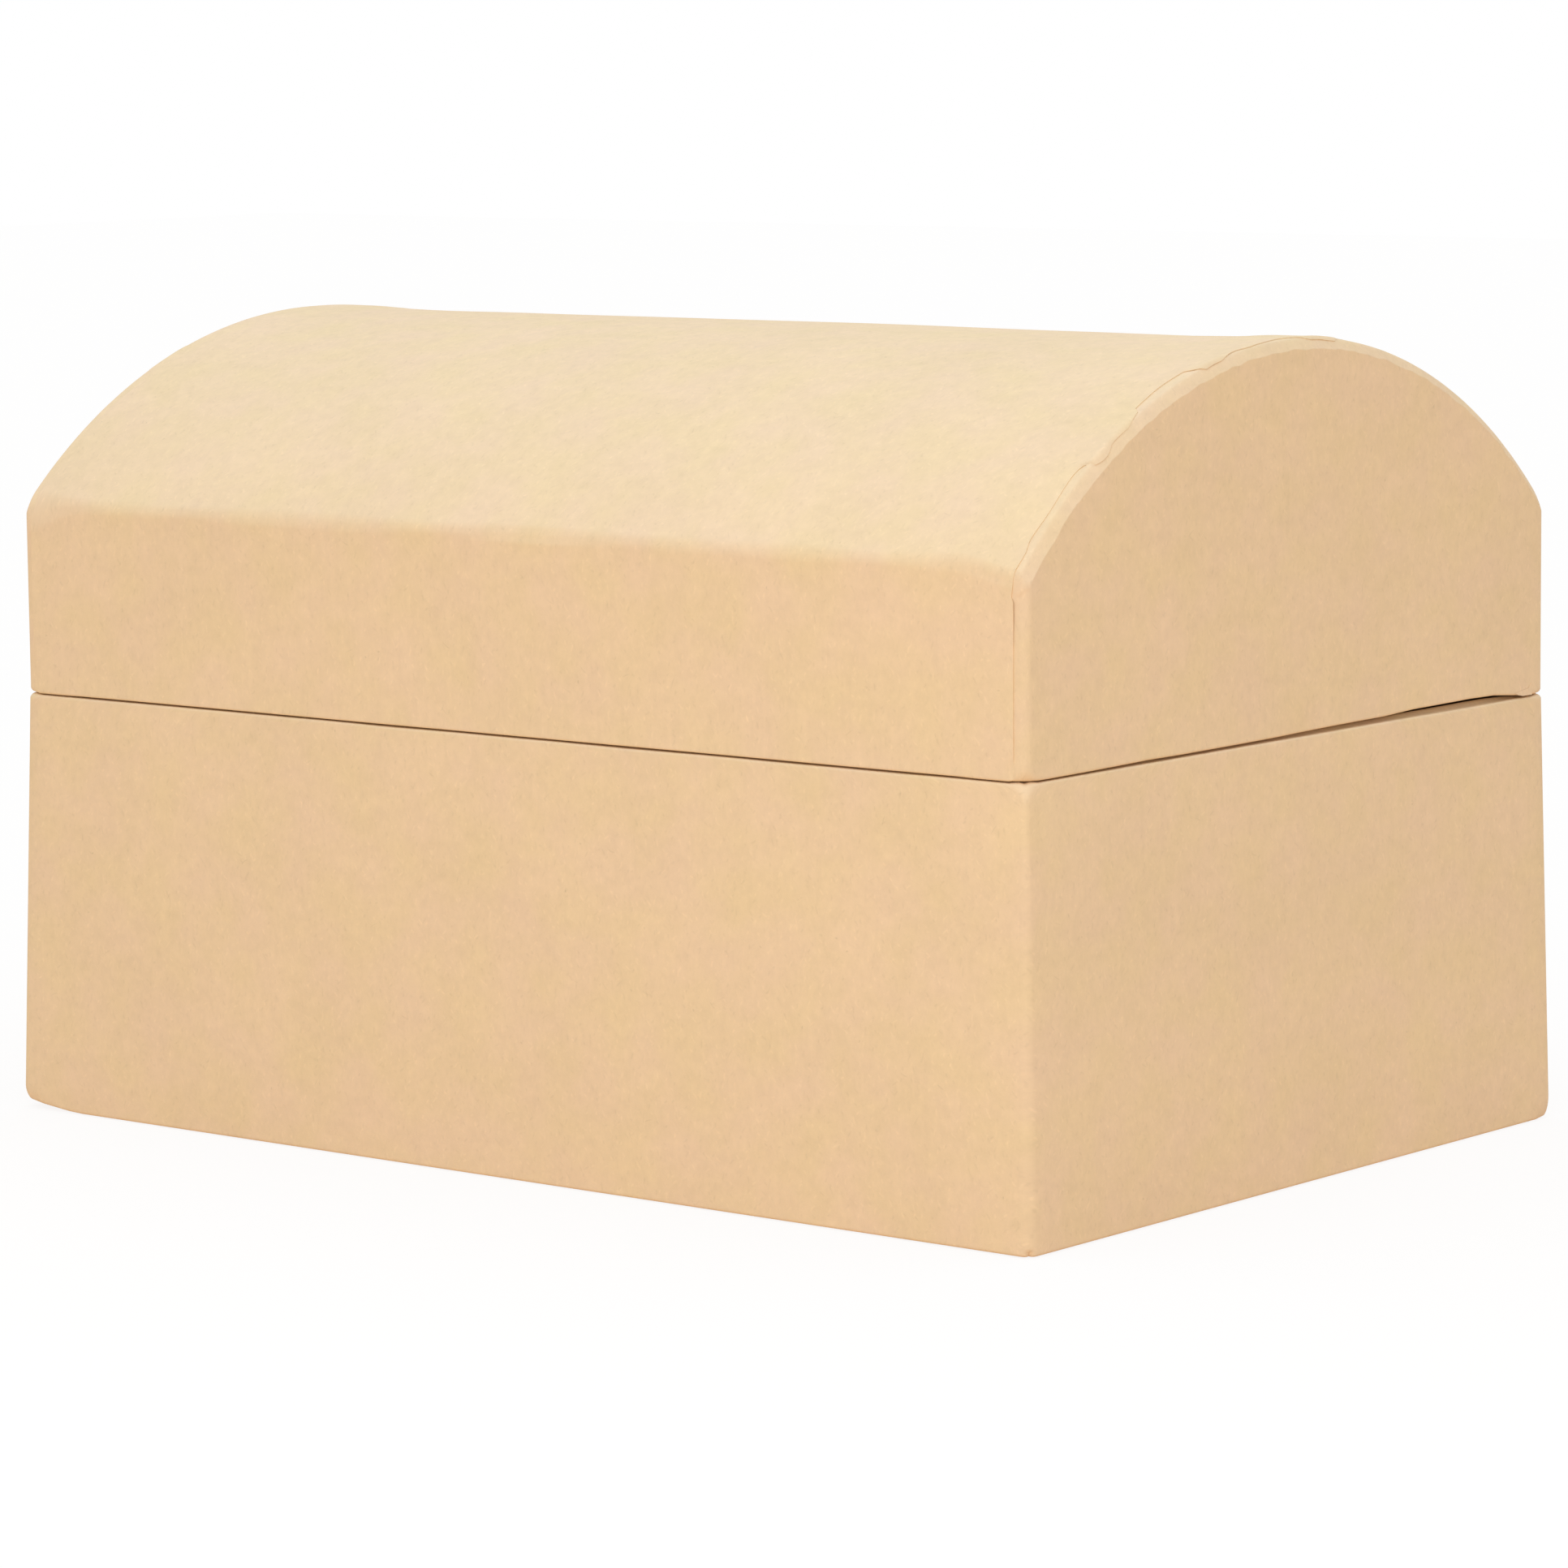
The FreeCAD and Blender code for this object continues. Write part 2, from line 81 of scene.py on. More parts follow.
class Wire:
    # a socket of a material, so that shader maths can be written as sums
    def __init__(self, tree, socket=None):
        self.tree = tree
        self.socket = socket

    def make(self, kind, settings=None, sockets=None, out=0):
        made = self.tree.nodes.new(kind)
        for key, value in (settings or {}).items():
            setattr(made, key, value)
        for key, value in (sockets or {}).items():
            if isinstance(value, Wire):
                self.tree.links.new(value.socket, made.inputs[key])
            else:
                made.inputs[key].default_value = value
        return Wire(self.tree, made.outputs[out] if made.outputs else None)

    def also(self, out):
        return Wire(self.tree, self.socket.node.outputs[out])

    def calc(self, operation, first, second=0.0):
        return self.make("ShaderNodeMath", {"operation": operation}, {0: first, 1: second})

    def __add__(self, other):
        return self.calc("ADD", self, other)

    def __sub__(self, other):
        return self.calc("SUBTRACT", self, other)

    def __rsub__(self, other):
        return self.calc("SUBTRACT", other, self)

    def __mul__(self, other):
        return self.calc("MULTIPLY", self, other)

    __radd__ = __add__
    __rmul__ = __mul__

    def size(self):
        return self.calc("ABSOLUTE", self)

    def above(self, edge):
        return self.calc("GREATER_THAN", self, edge)

    def fade(self, start, end):
        # 0 at start, 1 at end, soft between, either way round
        return self.make("ShaderNodeMapRange", {"interpolation_type": "SMOOTHSTEP"},
                         {"Value": self, "From Min": start, "From Max": end})

    def vector(self, operation, first, second, out=0):
        return self.make("ShaderNodeVectorMath", {"operation": operation}, {0: first, 1: second}, out)

    def scaled(self, amount):
        return self.make("ShaderNodeVectorMath", {"operation": "SCALE"}, {0: self, "Scale": amount})

    def cloud(self, scale, detail=2.0, rough=0.5):
        # evenly spread noise, brought to -1..1
        found = self.make("ShaderNodeTexNoise", {"noise_dimensions": "3D"},
                          {"Vector": self, "Scale": scale, "Detail": detail, "Roughness": rough})
        return (found - 0.5) * 2.6


def newMaterial(name):
    material = bpy.data.materials.new(name)
    material.use_nodes = True
    material.node_tree.nodes.clear()
    return material, Wire(material.node_tree)


# Kraft paper: cloudy tone, pulp streaks along the sheet, a felt of short fibres, flecks and a fine tooth
kraft = {
    "rose": (0.782, 0.558, 0.345),
    "straw": (0.768, 0.564, 0.314),
    "cloudSize": 24.0,       # millimetres
    "cloud": 0.034,
    "toneSize": 11.0,
    "mottleSize": 3.4,
    "mottle": 0.036,
    "streak": 0.040,
    "streakStretch": (1.0, 0.6, 1.0),
    "grain": 0.058,
    "grainSize": 2.0,
    "shortHair": {"cell": 1.3, "long": 0.9, "wide": 0.26, "share": 0.8, "spread": 1.1},
    "longHair": {"cell": 2.2, "long": 1.5, "wide": 0.24, "share": 0.7, "spread": 1.1},
    "darkHair": {"cell": 7.0, "long": 2.0, "wide": 0.15, "share": 0.5, "spread": 1.3},
    "fleck": {"cell": 12.0, "long": 0.6, "wide": 0.2, "share": 0.5, "spread": 1.57},
    "curl": 0.35,            # how much a hair bends
    "hairTone": 0.065,
    "darkTone": 0.09,
    "fleckTone": 0.15,
    "tooth": 0.008,          # millimetres
    "toothScale": 3.6,       # bumps in a millimetre
    "relief": 0.6,           # share of tooth and hairs in the height
    "streakRelief": 0.5,
    "rough": 0.78,
    "roughSpread": 0.05,
    "shine": 0.3,
}


def fibres(place, cell, long, wide, share, spread):
    # one hair in each cell, near upright on the sheet, and a random number of its own
    spots = place.scaled(1 / cell)
    hair = place.make("ShaderNodeTexVoronoi", {"voronoi_dimensions": "2D"}, {"Vector": spots, "Scale": 1.0})
    chance = hair.make("ShaderNodeSeparateColor", None, {0: hair.also("Color")})
    away = place.vector("SUBTRACT", spots, hair.also("Position")).scaled(cell)
    away = place.make("ShaderNodeSeparateXYZ", None, {0: away})
    turn = (chance - 0.5) * (2 * spread) + math.pi / 2
    cosTurn, sinTurn = chance.calc("COSINE", turn), chance.calc("SINE", turn)
    alongHair = away * cosTurn + away.also("Y") * sinTurn
    bend = alongHair * alongHair * (chance.also("Blue") - 0.5) * kraft["curl"]
    offHair = away.also("Y") * cosTurn - away * sinTurn + bend
    tip, taper = long * 0.5, long * 0.15
    line = offHair.size().fade(wide, 0.0) * alongHair.size().fade(tip, taper)
    return line * chance.also("Green").above(1 - share), chance.also("Blue")


def kraftMaterial(name, shade, onSheet):
    material, start = newMaterial(name)
    if onSheet:
        place = start.make("ShaderNodeUVMap", {"uv_map": "sheet"}).scaled(1 / mm)
    else:
        # slanted so that fibres show on level and upright faces alike
        spot = start.make("ShaderNodeTexCoord", out=3).scaled(1 / mm)
        across = spot.vector("DOT_PRODUCT", spot, (1.0, 0.0, 0.7), "Value")
        along = spot.vector("DOT_PRODUCT", spot, (0.0, 1.0, 0.7), "Value")
        place = spot.make("ShaderNodeCombineXYZ", None, {0: across, 1: along})

    def moved(x, y):
        return place.vector("ADD", place, (x, y, 0.0))

    cloud = place.cloud(1 / kraft["cloudSize"], 3.0)
    tone = moved(31.0, 7.0).cloud(1 / kraft["toneSize"], 2.5, 0.5)
    mottle = moved(9.0, 43.0).cloud(1 / kraft["mottleSize"], 2.0)
    streak = place.vector("MULTIPLY", place, kraft["streakStretch"]).cloud(1.0, 3.0, 0.7)
    grain = place.cloud(1 / kraft["grainSize"], 4.0, 0.75)
    tooth = place.cloud(kraft["toothScale"], 3.0, 0.65)
    shortHair, shortKind = fibres(place, **kraft["shortHair"])
    longHair, longKind = fibres(moved(17.2, 64.6), **kraft["longHair"])
    darkHair, darkKind = fibres(moved(57.3, 21.9), **kraft["darkHair"])
    fleck, fleckKind = fibres(moved(11.7, 83.1), **kraft["fleck"])
    felt = shortHair * (shortKind - 0.5) + longHair * (longKind - 0.5)
    level = (1 + cloud * kraft["cloud"] + mottle * kraft["mottle"] + streak * kraft["streak"]
             + grain * kraft["grain"] + felt * (2 * kraft["hairTone"])
             - darkHair * darkKind * kraft["darkTone"] - fleck * fleckKind * kraft["fleckTone"])
    rose = [part * shade for part in kraft["rose"]]
    straw = [part * shade for part in kraft["straw"]]
    paint = start.make("ShaderNodeMix", {"data_type": "RGBA"},
                       {0: tone.fade(-0.8, 0.8), 6: (*rose, 1), 7: (*straw, 1)}, out=2).scaled(level)
    relief = kraft["relief"]
    height = tooth * relief + streak * kraft["streakRelief"]
    height = height + shortHair * relief + longHair * relief + darkHair * relief
    bump = start.make("ShaderNodeBump", None,
                      {"Strength": 1.0, "Distance": kraft["tooth"] * mm, "Height": height})
    skin = start.make("ShaderNodeBsdfPrincipled", None, {
        "Base Color": paint, "Roughness": kraft["rough"] + grain * kraft["roughSpread"],
        "Normal": bump, "Specular IOR Level": kraft["shine"]})
    start.make("ShaderNodeOutputMaterial", None, {"Surface": skin})
    return material


# Grey chipboard under the paper: pressed pulp with pale and dark crumbs
chip = {
    "pale": (0.44, 0.395, 0.33),
    "dark": (0.34, 0.305, 0.25),
    "crumb": 1.6,            # millimetres
    "layer": 5.0,
    "spread": 1.2,
    "tooth": 0.02,
    "rough": 0.85,
    "roughSpread": 0.05,
    "shine": 0.2,
}


def chipMaterial():
    material, start = newMaterial("chipboard")
    place = start.make("ShaderNodeTexCoord", out=3).scaled(1 / mm)
    crumb = place.cloud(1 / chip["crumb"], 4.0, 0.7)
    layer = place.cloud(1 / chip["layer"], 2.0)
    share = (crumb + layer).fade(-chip["spread"], chip["spread"])
    paint = start.make("ShaderNodeMix", {"data_type": "RGBA"},
                       {0: share, 6: (*chip["dark"], 1), 7: (*chip["pale"], 1)}, out=2)
    bump = start.make("ShaderNodeBump", None,
                      {"Strength": 1.0, "Distance": chip["tooth"] * mm, "Height": crumb})
    skin = start.make("ShaderNodeBsdfPrincipled", None, {
        "Base Color": paint, "Roughness": chip["rough"] + crumb * chip["roughSpread"],
        "Normal": bump, "Specular IOR Level": chip["shine"]})
    start.make("ShaderNodeOutputMaterial", None, {"Surface": skin})
    return material


kraftCover = kraftMaterial("kraftCover", 1.0, True)
kraftTape = kraftMaterial("kraftTape", 0.97, True)
kraftLining = kraftMaterial("kraftLining", 0.94, False)
kraftStay = kraftMaterial("kraftStay", 0.8, False)
chipboard = chipMaterial()
for name, part in nodes.items():
    if "stay" in name:
        finish = kraftStay
    elif "board" in name:
        finish = chipboard
    else:
        finish = kraftLining
    part.data.materials.clear()
    part.data.materials.append(finish)
print("materials:", len(bpy.data.materials))


def smooth(start, end, value):
    share = min(1.0, max(0.0, (value - start) / (end - start)))
    return share * share * (3 - 2 * share)


def mixed(first, second, share):
    return first + (second - first) * share


def ripple(across, along, size, seed):
    # soft unevenness of a glued sheet, -1..1
    return noise.noise(Vector((across / size, along / size, seed)))


def between(stations, place):
    # smooth value between listed pairs of place and value
    for (first, low), (second, high) in zip(stations, stations[1:]):
        if place <= second:
            return mixed(low, high, smooth(first, second, place))
    return stations[-1][1]


def lengths(points):
    # running length along a line of points
    run = [0.0]
    for first, second in zip(points, points[1:]):
        run.append(run[-1] + (Vector(second) - Vector(first)).length)
    return run


def quarter(steps):
    return [math.pi / 2 * k / steps for k in range(steps + 1)]


sheetMesh = {"weld": 0.004, "sharp": 50}       # millimetres and degrees


def makeSheet(name, rows, marks, ring=False, flip=False):
    # rows of points in millimetres joined into quads; marks are places on the flat sheet
    wide = len(rows[0])
    span = wide if ring else wide - 1
    faces, places = [], []
    for i in range(len(rows) - 1):
        for j in range(span):
            corners = [(i, j), (i, j + 1), (i + 1, j + 1), (i + 1, j)]
            if flip:
                corners.reverse()
            faces.append([row * wide + column % wide for row, column in corners])
            places += [part * mm for row, column in corners for part in marks[row][column]]
    mesh = bpy.data.meshes.new(name)
    mesh.from_pydata([Vector(point) * mm for row in rows for point in row], [], faces)
    mesh.uv_layers.new(name="sheet").uv.foreach_set("vector", places)
    return mesh


def settle(name, meshes, material, thickness):
    # sheets joined at shared edges and given the paper's thickness; bends are smooth and cut edges sharp
    joined = bmesh.new()
    for mesh in meshes:
        joined.from_mesh(mesh)
        bpy.data.meshes.remove(mesh)
    bmesh.ops.remove_doubles(joined, verts=joined.verts, dist=sheetMesh["weld"] * mm)
    mesh = bpy.data.meshes.new(name)
    joined.to_mesh(mesh)
    joined.free()
    mesh.materials.append(material)
    piece = bpy.data.objects.new(name, mesh)
    scene.collection.objects.link(piece)
    skin = piece.modifiers.new("paper", "SOLIDIFY")
    skin.thickness = thickness * mm
    skin.offset = -1
    solid = bpy.data.meshes.new_from_object(piece.evaluated_get(bpy.context.evaluated_depsgraph_get()))
    piece.modifiers.clear()
    piece.data = solid
    bpy.data.meshes.remove(mesh)
    solid.name = name
    solid.polygons.foreach_set("use_smooth", [True] * len(solid.polygons))
    solid.set_sharp_from_angle(angle=math.radians(sheetMesh["sharp"]))
    print("piece:", name, len(solid.vertices), "points")
    return piece


def cornerRound(away, reach, start, end):
    # plan radius of a corner, growing to its end at a rim or foot
    share = max(0.0, 1 - away / reach)
    return mixed(start, end, 1 - math.sqrt(1 - share * share))


def crisp(x, y):
    # the front right corner
    return x > 0 > y


def rounded(x, y, halfX, halfY, radius):
    # a point of a rectangle, moved in on to its rounded corner
    overX, overY = abs(x) - halfX + radius, abs(y) - halfY + radius
    if overX <= 0 or overY <= 0 or math.hypot(overX, overY) <= radius:
        return x, y
    share = radius / math.hypot(overX, overY)
    spotX, spotY = halfX - radius + overX * share, halfY - radius + overY * share
    return math.copysign(spotX, x), math.copysign(spotY, y)


# Foot of the lid's ends, warped up towards the hinge: y and how far it is lifted
endLift = [(-68.5, 0.05), (-50, 0.1), (-42, 0.28), (-32, 0.2), (-11, 0.25), (0, 0.42), (12, 0.58), (21, 0.6),
           (32, 0.95), (44, 1.0), (51, 1.1), (55, 0.85), (58, 0.6), (60, 0.2), (62.5, 0.1), (68.5, 0.05)]
liftReach = 14.0             # height over which the lift fades out

# Sheet round the base: turned under the floor, up the walls, over the rim and down inside
baseSheet = {
    "under": (15.0, 8.0, 4.0, 2.6),          # turned under the floor, by distance inside the wall
    "heel": (1.4, 0.02),     # last of those places before the foot, and its height above it
    "wall": 2.6,             # covered thickness of a wall
    "wallRows": 18,
    "innerRound": 0.5,
    "turnIn": (1.5, 4.0, 8.0, 12.0),         # turned in, by distance below the rim
    "edgeRound": 0.85,       # upright edge at the front right
    "footRound": 0.4,
    "rimRound": 0.35,
    "seat": [(1.3, 0.0), (1.7, 0.06), (2.0, 0.14)],      # inner half of the rim rises a little
    "follow": 0.35,          # share of the lid's lift that the seat goes with
    "flare": 1.2,            # walls lean out to the foot
    "leftLean": 1.2,         # left end leans out more
    "leanRun": (8.0, 1.0),   # distance inside the wall over which the turned edge goes along
    "footCorner": 5.5,       # plan of the softer corners at the foot
    "footReach": 3.4,
    "footRise": 1.0,         # front left corner stands up from the table
    "footRiseRun": 13.0,
    "footRiseHigh": 5.0,
    "leastRound": 0.25,
    "cornerReach": 3.0,
    "wave": 0.07,
    "waveSize": 34.0,
    "footTuck": 0.6,         # mitre of the folded paper at the foot of each corner
    "footTuckHigh": 1.1,
    "footTuckSoft": 0.6,
    "rimSag": 0.16,
    "rimSagSize": 21.0,
    "rimFold": 0.2,
}


def ringOutline(halfX, halfY, radius):
    # rounded rectangle from the left end of the front: x, y and the outward direction
    points = []
    sides = ((1, 0, 66), (0, 1, 44), (-1, 0, 66), (0, -1, 44))
    for stepX, stepY, count in sides:
        outX, outY = stepY, -stepX
        run = (halfX if stepX else halfY) - radius
        off = halfY if stepX else halfX
        for k in range(count):
            along = run * (2 * k / count - 1)
            points.append((stepX * along + outX * off, stepY * along + outY * off, outX, outY))
        heartX = (halfX - radius) * (stepX + outX)
        heartY = (halfY - radius) * (stepY + outY)
        for turn in quarter(8)[:-1]:
            nx = outX * math.cos(turn) + stepX * math.sin(turn)
            ny = outY * math.cos(turn) + stepY * math.sin(turn)
            points.append((heartX + nx * radius, heartY + ny * radius, nx, ny))
    return points


def makeBaseCover():
    foot, rim = chest["baseFoot"], chest["baseRim"]
    wall, inner = baseSheet["wall"], baseSheet["innerRound"]
    footRound, rimRound = baseSheet["footRound"], baseSheet["rimRound"]
    seatRise = baseSheet["seat"][-1][1]
    profile = [(inset, chest["baseUnder"]) for inset in baseSheet["under"]]
    heel, heelRise = baseSheet["heel"]
    profile.append((heel, foot + heelRise))
    profile += [(footRound * (1 - math.sin(t)), foot + footRound * (1 - math.cos(t))) for t in quarter(5)]
    low, high = foot + footRound, rim - rimRound
    steps = (0.3, 0.6, 0.9, 1.3, 1.8, 2.4, 3.2, 4.4)          # close rows beside the foot and the rim
    profile += [(0.0, low + step) for step in steps]
    count = baseSheet["wallRows"]
    profile += [(0.0, mixed(low + steps[-1], high - steps[-1], k / count)) for k in range(1, count)]
    profile += [(0.0, high - step) for step in reversed(steps)]
    profile += [(rimRound * (1 - math.cos(t)), high + rimRound * math.sin(t)) for t in quarter(6)]
    profile += [(inset, rim + rise) for inset, rise in baseSheet["seat"]]
    top = rim + seatRise - inner
    profile += [(wall - inner + inner * math.sin(t), top + inner * math.cos(t)) for t in quarter(4)]
    profile += [(wall, rim - drop) for drop in baseSheet["turnIn"]]
    edge, edgeReach = baseSheet["edgeRound"], baseSheet["cornerReach"]
    outline = ringOutline(chest["halfLength"], chest["halfDepth"], edge)
    flat = lengths([point[:2] for point in outline])
    flat.append(2 * flat[-1] - flat[-2])
    least = baseSheet["leastRound"]
    rows, marks = [], []
    for (inset, z), v in zip(profile, lengths(profile)):
        belowRim, aboveFoot = max(0.0, rim - z), max(0.0, z - foot)
        crispRound = cornerRound(belowRim, edgeReach, edge, chest["rimCorner"])
        footReach, footCorner = baseSheet["footReach"], baseSheet["footCorner"]
        softRound = cornerRound(aboveFoot, footReach, chest["softRound"], footCorner)
        radius = max(crispRound - inset, least)
        softRadius = max(max(crispRound, softRound) - inset, least)
        outside = inset < 1.0
        lean = 0.0
        if z < low:
            lean = smooth(*baseSheet["leanRun"], inset)
        elif outside:
            lean = (rim - z) / (rim - foot)
        flare, leftLean = baseSheet["flare"] * lean, baseSheet["leftLean"] * lean
        row = []
        for x, y, nx, ny in ringOutline(chest["halfLength"] - inset, chest["halfDepth"] - inset, radius):
            corner = 2 * abs(nx * ny)                       # 1 on the corner's middle line
            push = flare
            if outside:
                onWall = smooth(foot, foot + 6, z) * smooth(rim, rim - 6, z)
                push += baseSheet["wave"] * onWall * ripple(x * 1.3 + y, z, baseSheet["waveSize"], 2.7)
                tuckTop = foot + baseSheet["footTuckHigh"]
                inTuck = corner ** 14 * smooth(tuckTop, tuckTop - baseSheet["footTuckSoft"], z)
                push -= baseSheet["footTuck"] * inTuck
            rise = baseSheet["rimSag"] * (ripple(x * 1.3 + y, 0, baseSheet["rimSagSize"], 8.1) - 1) * 0.5
            rise += baseSheet["rimFold"] * smooth(0.55, 0.85, corner) * smooth(1.02, 0.9, corner)
            rise *= smooth(rim - 2, rim, z) * smooth(1.9, 1.3, inset)
            if abs(nx) > 0.99:                              # seat under the lid's ends
                onSeat = smooth(1.4, 2.0, inset) * smooth(rim - 1, rim, z)
                rise += baseSheet["follow"] * between(endLift, y) * onSeat
            fromCorner = math.hypot(x + chest["halfLength"], y + chest["halfDepth"])
            raised = baseSheet["footRise"] * smooth(baseSheet["footRiseRun"], 0.0, fromCorner)
            raised *= smooth(foot + baseSheet["footRiseHigh"], foot, z)
            rise += raised * smooth(*baseSheet["leanRun"], inset)
            leftShare = max(0.0, -x) / chest["halfLength"]
            spotX, spotY = x + nx * push - leftLean * leftShare, y + ny * push
            if (outside or z < low) and not crisp(x, y):
                wide = chest["halfLength"] - inset + flare + (leftLean if x < 0 else 0.0)
                spotX, spotY = rounded(spotX, spotY, wide, chest["halfDepth"] - inset + flare, softRadius)
            row.append((spotX, spotY, z + rise))
        rows.append(row)
        marks.append([(u, v) for u in flat])
    return settle("base_cover", [makeSheet("base_cover", rows, marks, ring=True)], kraftCover, chest["paper"])


baseCover = makeBaseCover()
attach(baseCover, "base")
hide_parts("base_outer_wrap")


def drawnIn(x, y, z, inset, halfY):
    # x and y of a point of the lid, moved in where the corners are drawn in at the rim
    away = max(0.0, z - chest["lidRim"])
    radius = cornerRound(away, topSheet["cornerReach"], chest["edgeRound"], chest["rimCorner"])
    if not crisp(x, y):
        radius = max(radius, chest["softRound"])
    return rounded(x, y, chest["halfLength"] - inset, halfY - inset, max(radius - inset, 0.05))


def archHalf(foot, shoulder, crease, bendSteps, domeSteps):
    # front half of the lid's section, with its crease raised by the shoulder and rounded
    rise = chest["domeRise"] - shoulder
    radius = (chest["halfDepth"] ** 2 + rise ** 2) / (2 * rise)
    heart = topHigh.z - radius
    bendY = chest["halfDepth"] - crease
    bendZ = heart + math.sqrt((radius - crease) ** 2 - bendY ** 2)
    bendTurn = math.atan2(bendZ - heart, bendY)
    aboveFoot = (0.0, 0.3, 0.6, 1.0, 1.5, 2.1, 3.0, 4.2)         # close rows beside the foot and the bend
    belowBend = (2.4, 2.0, 1.6, 1.3, 1.0, 0.75, 0.5, 0.25)
    heights = [foot + step for step in aboveFoot]
    heights += [mixed(heights[-1], bendZ - belowBend[0], k / 12) for k in range(1, 12)]
    heights += [bendZ - step for step in belowBend]
    half = [(-chest["halfDepth"], z, -1.0, 0.0) for z in heights]
    for k in range(bendSteps):
        turn = math.pi - bendTurn * k / bendSteps
        ny, nz = math.cos(turn), math.sin(turn)
        half.append((-bendY + crease * ny, bendZ + crease * nz, ny, nz))
    for k in range(domeSteps + 1):
        turn = math.pi - bendTurn - (math.pi / 2 - bendTurn) * k / domeSteps
        ny, nz = math.cos(turn), math.sin(turn)
        half.append((radius * ny, heart + radius * nz, ny, nz))
    return half


def archPath(foot, front, back, bendSteps=14, domeSteps=80):
    # section of the lid from the front foot over the dome to the back one: y, z and the outward direction
    forward = archHalf(foot, *front, bendSteps, domeSteps)
    behind = archHalf(foot, *back, bendSteps, domeSteps)
    return forward + [(-y, z, -ny, nz) for y, z, ny, nz in reversed(behind[:-1])]


def endArch(foot, side):
    front = chest["crispCrease"] if side > 0 else chest["softCrease"]
    return archPath(foot, front, chest["softCrease"])


# Edge of the dome at each end, where the paper is folded over: a narrow slope with a crisp lower edge
endEdge = {
    "slopeFrom": 1.1,        # distance inside the end
    "fall": 1.65,            # lost height at the end
    "soft": 0.12,
    "lump": 0.17,
    "lumpSize": 1.9,
    # how far the dome stands up, by distance inside the end
    "rise": [(0, 0.36), (8, 0.30), (16, 0.0), (24, -0.12), (45, 0.03), (101, 0.15)],
}


def onDome(nz):
    # 0 on a wall, 1 on the dome, going by the upward part of the outward direction
    return smooth(0.1, 0.69, nz)


def edgeFall(inside, y, z, side):
    # how far the folded edge lies below the dome, a little lumpy along the arch
    soft, start = endEdge["soft"], endEdge["slopeFrom"]
    fall = endEdge["fall"] / start * soft * math.log1p(math.exp((start - inside) / soft))
    along = domeRadius * math.atan2(y, z - domeHeart)
    return fall * (1 + endEdge["lump"] * ripple(along, 9.0 * side, endEdge["lumpSize"], 4.4))


def endRise(inside, nz):
    # ends stand a little proud of the sagging dome
    return between(endEdge["rise"], inside) * onDome(nz)


# Sheet over the lid: front wall, dome and back wall, with hand-cut edges short of the ends.
# Places along the cut are millimetres of paper from the front rim, then how far the cut stays inside the end.
topSheet = {
    "rail": 2.9,             # covered thickness of a long wall
    "innerRound": 0.5,
    "footRound": 0.35,
    "turnIn": (12.0, 7.0, 3.0, 1.2),         # turned in, by height above the rim
    "cornerReach": 2.0,
    "wave": 0.10,
    "waveSize": 38.0,
    "creaseWave": 0.2,
    "shoulderRun": (1.5, 13.0),      # distance inside the ends over which the crease rises
    "middleColumns": 36,
    "flapEdge": (9.4, 11.2),         # free edge of the tabs below, felt through the sheet
    "flapStep": 0.07,
    # how far a cut edge is pressed down
    "press": [(0, 0.15), (3.5, 0.15), (6, 0.04), (26, 0.04), (31, 0.09), (40, 0.11), (110, 0.11)],
    "rightCut": [(0, 2.3), (24, 2.2), (25.6, 2.2), (26.2, 2.5), (28, 2.3), (33, 2.0), (35.7, 2.5), (41, 2.2),
                 (49, 2.6), (50.9, 2.4), (51.6, 1.7), (52.2, 0.7), (53.7, 0.45), (55, 0.4), (57.4, 0.85),
                 (61.5, 0.8), (65, 1.3), (66.6, 2.6), (74, 3.0), (79.6, 2.9), (80.6, 1.6), (82, 0.75),
                 (86, 0.8), (91, 1.5), (94, 1.2), (97, 1.4), (104, 2.0), (110, 0.8), (116, 0.75), (119, 2.4),
                 (131, 3.2), (147, 2.6), (160, 2.9), (182, 2.3), (212, 2.3)],
    "leftCut": [(0, 2.4), (28, 2.3), (36, 2.9), (47, 2.3), (60, 3.1), (64, 1.2), (72, 0.9), (76, 2.6),
                (88, 2.9), (101, 2.2), (117, 3.1), (121, 1.0), (129, 0.9), (132, 2.7), (158, 2.3), (175, 2.9),
                (212, 2.4)],
    # how far the right cut edge stands off
    "lift": [(0, 0.0), (2.7, 0.0), (3.3, 0.12), (5.5, 0.04), (8, 0.0), (50.5, 0.0), (52.4, 0.12), (55, 0.2),
             (57, 0.12), (61, 0.04), (66, 0.0), (79.5, 0.0), (81.5, 0.1), (84.5, 0.14), (88, 0.06),
             (93, 0.03), (108, 0.02), (112, 0.1), (117, 0.02), (212, 0.0)],
    "liftRun": 2.2,
}


